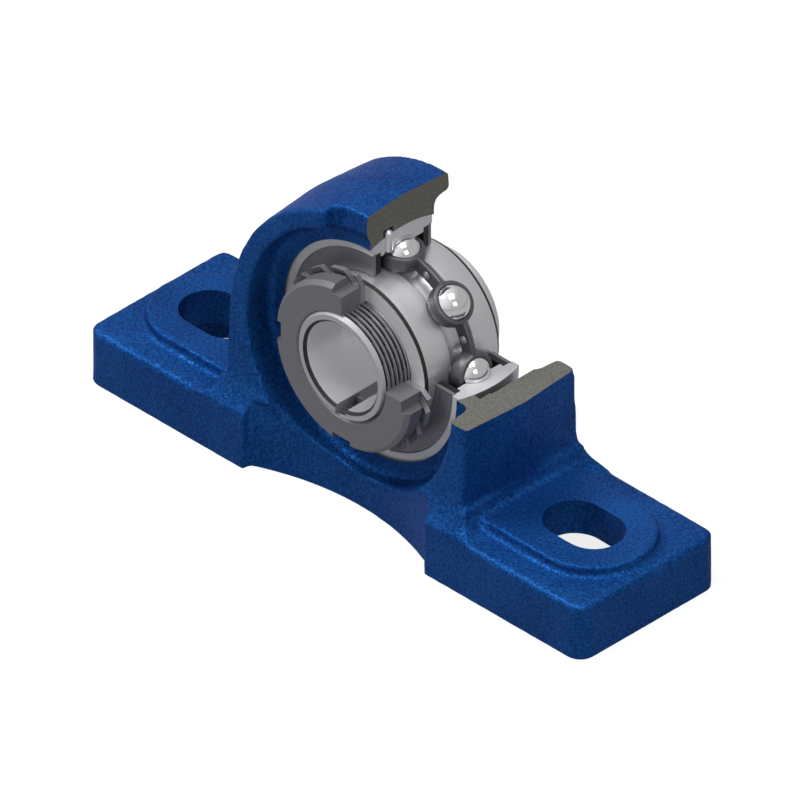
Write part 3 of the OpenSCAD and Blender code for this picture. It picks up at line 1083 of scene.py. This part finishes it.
    def upright_pin(
        self, radius: float, low: float, high: float, domed: bool = False
    ) -> bpy.types.Mesh:
        """Upright pin over the shaft.

        Args:
            radius: its radius.
            low: height of its foot over the axis.
            high: height over the axis at which its side ends.
            domed: whether its end is a half ball and not flat.

        Returns:
            The mesh.
        """
        top = arc((0, high), radius, 0, 90, 10) if domed else np.array([[radius, high], [0, high]])
        profile = np.concatenate(([[0, low], [radius, low]], top))
        centre = np.array([0, self.pin_place, self.shaft.height])
        return mesh_of("pin", [dome(profile, centre, UPRIGHT, 48)])

    def locating_pin(self) -> None:
        """Pin that keeps the outer ring from creeping round in its seat."""
        mesh = self.upright_pin(self.pin_radius, self.pin_foot, self.pin_head, domed=True)
        dress(mesh, (Finishes.PIN,), "locating_pin_domed", "insert", "locating_pin")


@dataclass
class Cage:
    """The ribbon cage: two pressed halves, riveted between the balls."""

    shaft: Shaft
    count: int = 8
    pitch: float = 19.5
    pocket: float = 4.049
    sheet: float = 0.7
    inner: float = 17.9
    outer: float = 21.1
    fillet: float = 0.5
    edge: float = 0.12
    flat_gap: float = 0.01
    crowding: float = 1.3
    rivet_radius: float = 0.6
    head_radius: float = 1.2

    def build(self) -> None:
        """Makes both halves and the rivets."""
        for side, name in ((-1, "front"), (1, "rear")):
            mesh = mesh_of("half", [self.ribbon(side)])
            piece = f"{name}_cage_pressed"
            dress(mesh, (Finishes.SHEET,), piece, "cage", f"cage_{name}", crease=50)
        self.rivets()

    def ribbon(self, side: int) -> Points:
        """Grid of one half, with the way round the shaft first and the sheet's section second.

        At a distance d from a ball's centre the pocket's wall stands at sqrt(R * R - d * d)
        along the shaft, for the sheet's outer and inner R. The outer face takes the larger of
        that and the sheet's thickness, blended by the fillet. The way round is stretched so
        that points fall on the pocket's edge at every radius, and past it a bar's points crowd
        towards the pocket, by a power of their share of the way.

        Args:
            side: -1 for the front half and 1 for the rear one.

        Returns:
            Grid of places.
        """
        across = np.concatenate((
            [self.inner, self.inner + self.edge],
            np.linspace(self.inner, self.outer, 9)[1:-1],
            [self.outer - self.edge, self.outer],
        ))
        rim = np.arccos((across**2 + self.pitch**2 - self.pocket**2) / (2 * across * self.pitch))
        half = math.pi / self.count
        wall = np.sin(np.linspace(0, math.pi / 2, 17))
        bar = np.linspace(0, 1, 15)[1:] ** self.crowding
        inside = wall[:, None] * rim[None, :]
        beyond = rim[None, :] + bar[:, None] * (half - rim[None, :])
        right = np.concatenate((inside, beyond))
        sector = np.concatenate((-right[:0:-1], right[:-1]))
        apart = across**2 + self.pitch**2 - 2 * across * self.pitch * np.cos(sector)
        outer_wall = np.sqrt(np.maximum((self.pocket + self.sheet) ** 2 - apart, 0))
        inner_wall = np.sqrt(np.maximum(self.pocket**2 - apart, 0))
        gap = outer_wall - self.sheet
        outer_face = self.sheet + (gap + np.sqrt(gap**2 + self.fillet**2)) / 2
        outer_face -= self.fillet / 2 * np.exp(-np.maximum(gap, 0) / self.fillet)
        outer_face[:, [0, -1]] -= self.edge
        inner_wall = inner_wall + self.flat_gap
        turns = np.arange(self.count)[:, None, None] * (2 * half)
        angle = np.concatenate((sector, sector[:, ::-1]), axis=1)[None] + turns
        along = np.concatenate((outer_face, inner_wall[:, ::-1]), axis=1)
        radius = np.concatenate((across, across[::-1]))
        along = np.broadcast_to(along, angle.shape) * side
        grid = about_shaft(radius, angle, along, self.shaft.height)
        return grid.reshape(-1, len(radius), 3)

    def rivets(self) -> None:
        """Round-headed rivets through the bars between the pockets."""
        head = math.degrees(math.asin(self.sheet / self.head_radius))
        cap = arc((0, 0), self.head_radius, 90, head, 8)
        profile = np.concatenate((
            cap * (1, -1),
            [[self.rivet_radius, -self.sheet], [self.rivet_radius, self.sheet]],
            cap[::-1],
        ))
        grids = []
        for number in range(self.count):
            angle = math.radians(360 / self.count * (number + 0.5))
            centre = about_shaft(self.pitch, angle, 0, self.shaft.height)
            grids.append(dome(profile, centre, ACROSS_SHAFT, 24))
        mesh = mesh_of("rivets", grids)
        dress(mesh, (Finishes.RIVET,), "cage_rivet_heads", "cage", "cage_rivets")


@dataclass
class SleeveSet:
    """The adapter sleeve with its lock washer and lock nut."""

    shaft: Shaft
    bore: float = 10.0
    bore_chamfer: float = 0.6
    thread_start: float = 0.45
    thread_radius: float = 12.5
    thread_pitch: float = 1.15
    thread_depth: float = 0.6
    thread_bottom: float = 0.12
    thread_flank: float = 0.6
    thread_root: float = 0.4
    front: float = -17.5
    back: float = 14.5
    lead: float = 0.8
    tail_chamfer: float = 0.5
    taper_start: float = -10.1
    taper_ratio: float = 12.0
    fit: float = 0.02
    slit: float = 3.0
    washer_front: float = -11.7
    washer_back: float = -10.5
    washer_hole: float = 12.6
    tab_root: float = 16.8
    tab_tip: float = 20.3
    tab_half: float = 2.0
    tab_lean: float = 24.0
    tab_count: int = 18
    tab_start: float = 5.0
    bend_room: float = 0.5
    bend_start: float = 0.15
    bend_size: float = 0.2
    key_gap: float = 0.1
    key_bite: float = 1.0
    key_skin: float = 0.01
    nut_front: float = -17.3
    nut_radius: float = 19.0
    nut_edge: float = 0.9
    nut_face: float = 16.6
    nut_back_angle: float = 30.0
    notch_half: float = 2.5
    notch_floor: float = 17.0
    wall_share: float = 0.97
    nut_thread_gap: float = 0.04
    nut_mouth_gap: float = 0.1
    nut_mouth_depth: float = 0.7
    steps: int = 240
    per_pitch: int = 16

    def build(self) -> None:
        """Makes the three pieces."""
        self.sleeve()
        self.washer()
        self.nut()

    def thread_cut(self, angle: Points, along: Points) -> Points:
        """Depth of a true helical thread: a rounded triangle wave of (along / pitch - angle / turn).

        The root takes up the share thread_bottom of the pitch and its two flanks the share
        thread_flank. A flank rises as 3 f * f - 2 f * f * f of the way f along it.

        Args:
            angle: angles round the shaft, in radians.
            along: places along the shaft.

        Returns:
            Depths under the crest, at most thread_depth of the pitch.
        """
        phase = (along - self.front - self.thread_start) / self.thread_pitch - angle / FULL_TURN
        wave = np.abs(2 * (phase - np.floor(phase)) - 1)
        flank = np.clip((wave - self.thread_bottom) / self.thread_flank, 0, 1)
        return self.thread_depth * self.thread_pitch * (1 - flank * flank * (3 - 2 * flank))

    def sleeve(self) -> None:
        """Sleeve: threaded in front, tapered behind and slit along its underside.

        The lead chamfer cuts the thread's start, and the thread fades out over half a pitch.
        The finishes are 0 turned, 1 black as painted shade in chamfers and roots, 2 bored, painted paler
        as light, 3 threaded, painted darker as shade, and 4 ends, painted greyer as shade. A root is
        painted dark from thread_root of a pitch under the crest.
        """
        threads = (self.taper_start - self.front - self.lead) / self.thread_pitch
        along = np.concatenate((
            [self.front],
            np.linspace(self.front + self.lead, self.taper_start, int(threads * self.per_pitch)),
            np.linspace(self.taper_start, self.back - self.tail_chamfer, 12)[1:],
            [self.back],
        ))
        angle = np.linspace(0, FULL_TURN, self.steps, endpoint=False)[:, None]
        plain = np.where(
            along < self.taper_start,
            self.thread_radius,
            self.thread_radius + (along - self.washer_back) / (2 * self.taper_ratio) - self.fit,
        )
        fade = np.clip((self.taper_start - along) / (0.5 * self.thread_pitch), 0, 1)
        radius = plain - self.thread_cut(angle, along) * fade
        radius = np.minimum(radius, self.thread_radius - self.lead + (along - self.front))
        radius[:, -1] -= self.tail_chamfer
        mouth = self.bore + self.bore_chamfer
        bore = np.array([
            (mouth, self.back), (self.bore, self.back - self.bore_chamfer),
            (self.bore, self.front + self.bore_chamfer), (mouth, self.front),
        ])
        radius = np.concatenate((radius, np.tile(bore[:, 0], (self.steps, 1))), axis=1)
        along = np.concatenate((along, bore[:, 1]))
        bands = np.zeros(radius.shape, int)
        # Painted shade: the bore's two chamfers are black
        bands[:, [-4, -2]] = 1
        # Painted light: the bore takes the paler bore tone
        bands[:, -3] = 2
        # Painted shade: the lead chamfer and the front end take the greyer end tone
        bands[:, [0, -1]] = 4
        threaded = (along > self.front + self.lead) & (along < self.washer_back) & (radius > mouth)
        root = radius < self.thread_radius - self.thread_root * self.thread_pitch
        # Painted shade: the thread takes the darker thread tone
        bands[threaded] = 3
        # Painted shade: the thread's roots are black
        bands[root & threaded] = 1
        grid = about_shaft(radius, angle, along[None], self.shaft.height)
        far = self.shaft.far
        slit = block((-self.slit / 2, -far, -far), (self.slit / 2, far, self.shaft.height))
        mesh = worked(mesh_of("sleeve", [grid], bands), slit, Cut.AWAY)
        finishes = (Finishes.TURNED, Finishes.BLACK_PAINTED_SHADE, Finishes.BORE_PAINTED_LIGHT, Finishes.THREAD_PAINTED_SHADE, Finishes.END_PAINTED_SHADE)
        dress(mesh, finishes, "adapter_sleeve_turned", "inner", "adapter_sleeve")

    def washer(self) -> None:
        """Lock washer: a flat ring whose tabs lean to the nut, with a key in the sleeve's slit.

        Past the root of the tabs a point moves forward by its distance past it, times the
        tangent of the lean, with a short bend. The sides of a tab are parallel: at radius r
        they stand at the angle asin(tab_half / r) from its middle. The key goes key_bite into
        the ring and stays key_skin under its faces. The finishes are 0 the sheet, painted a touch
        lighter as light, and 1 a lighter tone, a painted highlight on its sheared outer edge, also on
        the cut.
        """
        levels = np.concatenate((
            np.linspace(self.washer_hole, self.tab_root - self.bend_room, 4),
            [self.tab_root],
            np.linspace(self.tab_root, self.tab_tip, 7)[1:],
        ))
        sides = levels[levels >= self.tab_root - 1e-9]
        gap = math.pi / self.tab_count
        foot = math.asin(self.tab_half / self.tab_root)
        tip = math.asin(self.tab_half / self.tab_tip)
        angle = np.concatenate((
            np.linspace(-gap, -foot, 4)[:-1], -np.arcsin(self.tab_half / sides),
            np.linspace(-tip, tip, 6)[1:-1], np.arcsin(self.tab_half / sides[::-1]),
            np.linspace(foot, gap, 4)[1:-1],
        ))
        reach = np.concatenate((
            np.full(3, self.tab_root), sides, np.full(4, self.tab_tip), sides[::-1],
            np.full(2, self.tab_root),
        ))
        start = math.radians(self.tab_start) + np.arange(self.tab_count)[:, None] * 2 * gap
        angle = (start + angle).ravel()[:, None]
        reach = np.tile(reach, self.tab_count)[:, None]
        radius = np.minimum(levels[None, :], reach)
        past = radius - self.tab_root - self.bend_start
        lean = math.tan(math.radians(self.tab_lean)) * (past + np.sqrt(past**2 + self.bend_size**2)) / 2
        radius = np.concatenate((radius, radius[:, ::-1]), axis=1)
        along = np.concatenate((self.washer_front - lean, self.washer_back - lean[:, ::-1]), axis=1)
        grid = about_shaft(radius, angle, along, self.shaft.height)
        bands = np.zeros(2 * len(levels), int)
        # Painted highlight: the tabs' outer edges take the lighter edge tone
        bands[len(levels) - 1] = 1
        key_half = self.slit / 2 - self.key_gap
        key_top = self.shaft.height - self.bore - self.bore_chamfer
        key_foot = self.shaft.height - self.washer_hole - self.key_bite
        key = block(
            (-key_half, self.washer_front + self.key_skin, key_foot),
            (key_half, self.washer_back - self.key_skin, key_top),
        )
        mesh = worked(mesh_of("washer", [grid], bands), key, Cut.JOIN)
        mesh = self.shaft.cut_open(mesh, finish=1)
        finishes = (Finishes.SHEET_PAINTED_LIGHT, Finishes.EDGE_PAINTED_HIGHLIGHT)
        dress(mesh, finishes, "lock_washer_stamped", "inner", "lock_washer")

    def nut_outline(self, limit: Points) -> tuple[Points, Points, Points]:
        """Outline of the nut with its four notches, at places where cones limit its radius.

        Over a quarter turn it is half a notch floor, a notch wall, the round, the next wall
        and half a floor. The walls are parallel to the notch's middle. The bore's last floor
        point stands at wall_share of the way to the wall, so that no two points coincide.

        Args:
            limit: largest radius at each place along the nut.

        Returns:
            Radii and angles, with the way round first, and the angles of the bore's points.
        """
        limit = limit[None, :]
        quarter = math.pi / 2
        shift = np.linspace(0, self.notch_half, 5)[:, None]
        floor_radius = np.minimum(np.hypot(self.notch_floor, shift), limit)
        floor_angle = np.broadcast_to(np.arctan2(shift, self.notch_floor), floor_radius.shape)
        first = np.arcsin(self.notch_half / limit)
        round_angle = first + np.linspace(0, 1, 40)[:, None] * (quarter - 2 * first)
        round_radius = np.broadcast_to(limit, round_angle.shape)
        radius = np.concatenate((floor_radius, round_radius, floor_radius[::-1][:-1]))
        angle = np.concatenate((floor_angle, round_angle, quarter - floor_angle[::-1][:-1]))
        inner_wall = math.asin(self.notch_half / self.thread_radius)
        bore_floor = np.linspace(0, inner_wall * self.wall_share, 5)
        bore_round = np.linspace(inner_wall, quarter - inner_wall, 40)
        bore = np.concatenate((bore_floor, bore_round, quarter - bore_floor[::-1][:-1]))
        turns = np.arange(4) * quarter
        return (
            np.tile(radius, (4, 1)),
            np.concatenate([angle + turn for turn in turns]),
            (turns[:, None] + bore).ravel(),
        )

    def nut(self) -> None:
        """Lock nut: a notched outline limited by two cones, and a helical thread in its bore."""
        back = self.washer_front
        slope = math.tan(math.radians(self.nut_back_angle))
        depth = (self.nut_radius - self.nut_face) * slope
        along = np.concatenate((
            [self.nut_front, self.nut_front + self.nut_edge / 2, self.nut_front + self.nut_edge],
            np.linspace(self.nut_front + self.nut_edge, back - depth, 4)[1:],
            np.linspace(back - depth, back, 6)[1:],
        ))
        limit = np.minimum.reduce([
            self.nut_radius - self.nut_edge + (along - self.nut_front),
            np.full_like(along, self.nut_radius),
            self.nut_face + (back - along) / slope,
        ])
        radius, angle, bore_angle = self.nut_outline(limit)
        count = int((back - self.nut_front) / self.thread_pitch * self.per_pitch)
        bore_along = np.linspace(back, self.nut_front, count)
        bore_angle = bore_angle[:, None]
        cut = self.thread_cut(bore_angle, bore_along[None])
        from_end = np.minimum(bore_along - self.nut_front, back - bore_along)
        inwards = np.minimum(from_end, self.nut_mouth_depth)
        mouth = self.thread_radius + self.nut_mouth_gap - inwards
        bore_radius = np.maximum(self.thread_radius + self.nut_thread_gap - cut, mouth)
        outside = about_shaft(radius, angle, along[None], self.shaft.height)
        inside = about_shaft(bore_radius, bore_angle, bore_along[None], self.shaft.height)
        mesh = self.shaft.cut_open(mesh_of("nut", [np.concatenate((outside, inside), axis=1)]))
        dress(mesh, (Finishes.PHOSPHATE,), "lock_nut_turned", "inner", "lock_nut")


@dataclass
class Studio:
    """Camera, floor, world and lamps.

    A gloss is the level at which the floor or the room shows in reflections, where 1 is white.
    The field sight is how far the camera sees, in metres.
    """

    target: tuple[float, float, float] = (-0.3, -0.3, 19.9)
    azimuth: float = 45.0
    elevation: float = 35.264
    distance: float = 700.0
    view_width: float = 160.0
    sight: float = 10.0
    floor_size: float = 6000.0
    floor_depth: float = 20.0
    floor_tone: float = 0.3
    floor_full: float = 1.08
    floor_lit: float = 0.8
    floor_gloss: float = 0.32
    world_tone: float = 0.08
    world_gloss: float = 0.5
    sky_gloss: float = 1.0
    sky_way: tuple[float, float, float] = (-0.61, -0.51, 0.61)
    sky_near: float = 0.9

    def build(self) -> None:
        """Sets up the whole studio."""
        scene = bpy.context.scene
        scene.view_settings.view_transform = "Standard"
        self.camera()
        self.floor()
        self.world()
        # A broad soft lamp almost straight above lights the top faces
        self.lamp("key", (130, -60, 890), 460, 2.9)
        # A weaker lamp on the right lights the ends that face it
        self.lamp("head", (680, -180, 480), 260, 1.4)
        # The main lamp, high in front and to the left, lights the mouth and glints on edges and balls
        self.lamp("front", (-400, -340, 690), 300, 3.3)

    def camera(self) -> None:
        """A camera without perspective, at the photograph's viewing angle."""
        data = bpy.data.cameras.new("camera")
        data.type = "ORTHO"
        data.ortho_scale = self.view_width * MM
        data.clip_end = self.sight
        camera = into_scene("camera", data)
        turn, rise = math.radians(self.azimuth), math.radians(self.elevation)
        out = math.cos(rise)
        back = Vector((math.sin(turn) * out, -math.cos(turn) * out, math.sin(rise)))
        camera.location = (Vector(self.target) + back * self.distance) * MM
        camera.rotation_euler = (-back).to_track_quat("-Z", "Y").to_euler()
        bpy.context.scene.camera = camera

    def floor(self) -> None:
        """A plain floor: grey to the light, lifted to white where it is seen, with its shadow.

        The lift is floor_full less the share floor_lit of its tone, which the lamps give it.
        """
        size = self.floor_size
        mesh = block((-size, -size, -self.floor_depth), (size, size, 0))
        floor = into_scene("studio_floor", mesh)
        material = bpy.data.materials.new("matt_studio_floor")
        material.use_nodes = True
        tree = material.node_tree
        tree.nodes.clear()
        tone = self.floor_tone
        matt = add(tree, "BsdfDiffuse", {"Color": (tone, tone, tone, 1)})
        path = add(tree, "LightPath").outputs
        part = {"operation": "MULTIPLY", 1: self.floor_gloss}
        dim = add(tree, "Math", part, {0: path["Is Glossy Ray"]})
        either = {0: dim.outputs[0], 1: self.shown(tree, path)}
        seen = add(tree, "Math", {"operation": "MAXIMUM"}, either)
        level = self.floor_full - self.floor_lit * tone
        lift = add(tree, "Math", {"operation": "MULTIPLY", 1: level}, {0: seen.outputs[0]})
        glow = add(tree, "Emission", {"Color": (1, 1, 1, 1)}, {"Strength": lift.outputs[0]})
        both = add(tree, "AddShader", {}, {0: matt.outputs[0], 1: glow.outputs[0]})
        add(tree, "OutputMaterial", {}, {"Surface": both.outputs[0]})
        mesh.materials.append(material)

    def shown(self, tree: Tree, path: bpy.types.NodeOutputs) -> Socket:
        """1 for rays that show the background itself: the camera's, and those through glass."""
        rays = {0: path["Is Camera Ray"], 1: path["Is Transmission Ray"]}
        return add(tree, "Math", {"operation": "MAXIMUM"}, rays).outputs[0]

    def world(self) -> None:
        """A pale room: white where it is seen, and dimmer as light on the unit.

        In reflections it brightens towards sky_way, from world_gloss to sky_gloss.
        """
        world = bpy.data.worlds.new("studio")
        world.use_nodes = True
        tree = world.node_tree
        tree.nodes.clear()
        path = add(tree, "LightPath").outputs
        way = add(tree, "TexCoord").outputs["Generated"]
        near = add(tree, "VectorMath", {"operation": "DOT_PRODUCT", 1: self.sky_way}, {0: way})
        rise = {"From Max": self.sky_near, "To Min": self.world_gloss, "To Max": self.sky_gloss}
        sky = add(tree, "MapRange", rise, {"Value": near.outputs["Value"]})
        room = {"Value": path["Is Glossy Ray"], "To Max": sky.outputs[0]}
        gloss = add(tree, "MapRange", {"To Min": self.world_tone}, room)
        both = {0: gloss.outputs[0], 1: self.shown(tree, path)}
        strength = add(tree, "Math", {"operation": "MAXIMUM"}, both)
        glow = add(tree, "Background", {"Color": (1, 1, 1, 1)}, {"Strength": strength.outputs[0]})
        add(tree, "OutputWorld", {}, {"Surface": glow.outputs[0]})
        bpy.context.scene.world = world

    def lamp(self, name: str, place: tuple[float, float, float], size: float, power: float) -> None:
        """A square soft lamp that looks at the unit.

        Args:
            name: name of the lamp.
            place: its place in millimetres.
            size: length of its side in millimetres.
            power: its power in watts.
        """
        data = bpy.data.lights.new(name, "AREA")
        data.size = size * MM
        data.energy = power
        lamp = into_scene(name, data)
        lamp.location = Vector(place) * MM
        lamp.rotation_euler = (Vector(place) - Vector(self.target)).to_track_quat("Z", "Y").to_euler()


def main() -> None:
    """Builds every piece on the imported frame, then the studio."""
    logging.basicConfig(level=logging.INFO, format="%(message)s")
    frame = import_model()
    shaft = Shaft.of(frame)
    Studio().build()
    Housing(shaft).build(frame)
    BallBearing(shaft).build()
    Cage(shaft).build()
    SleeveSet(shaft).build()


if __name__ == "__main__":
    main()
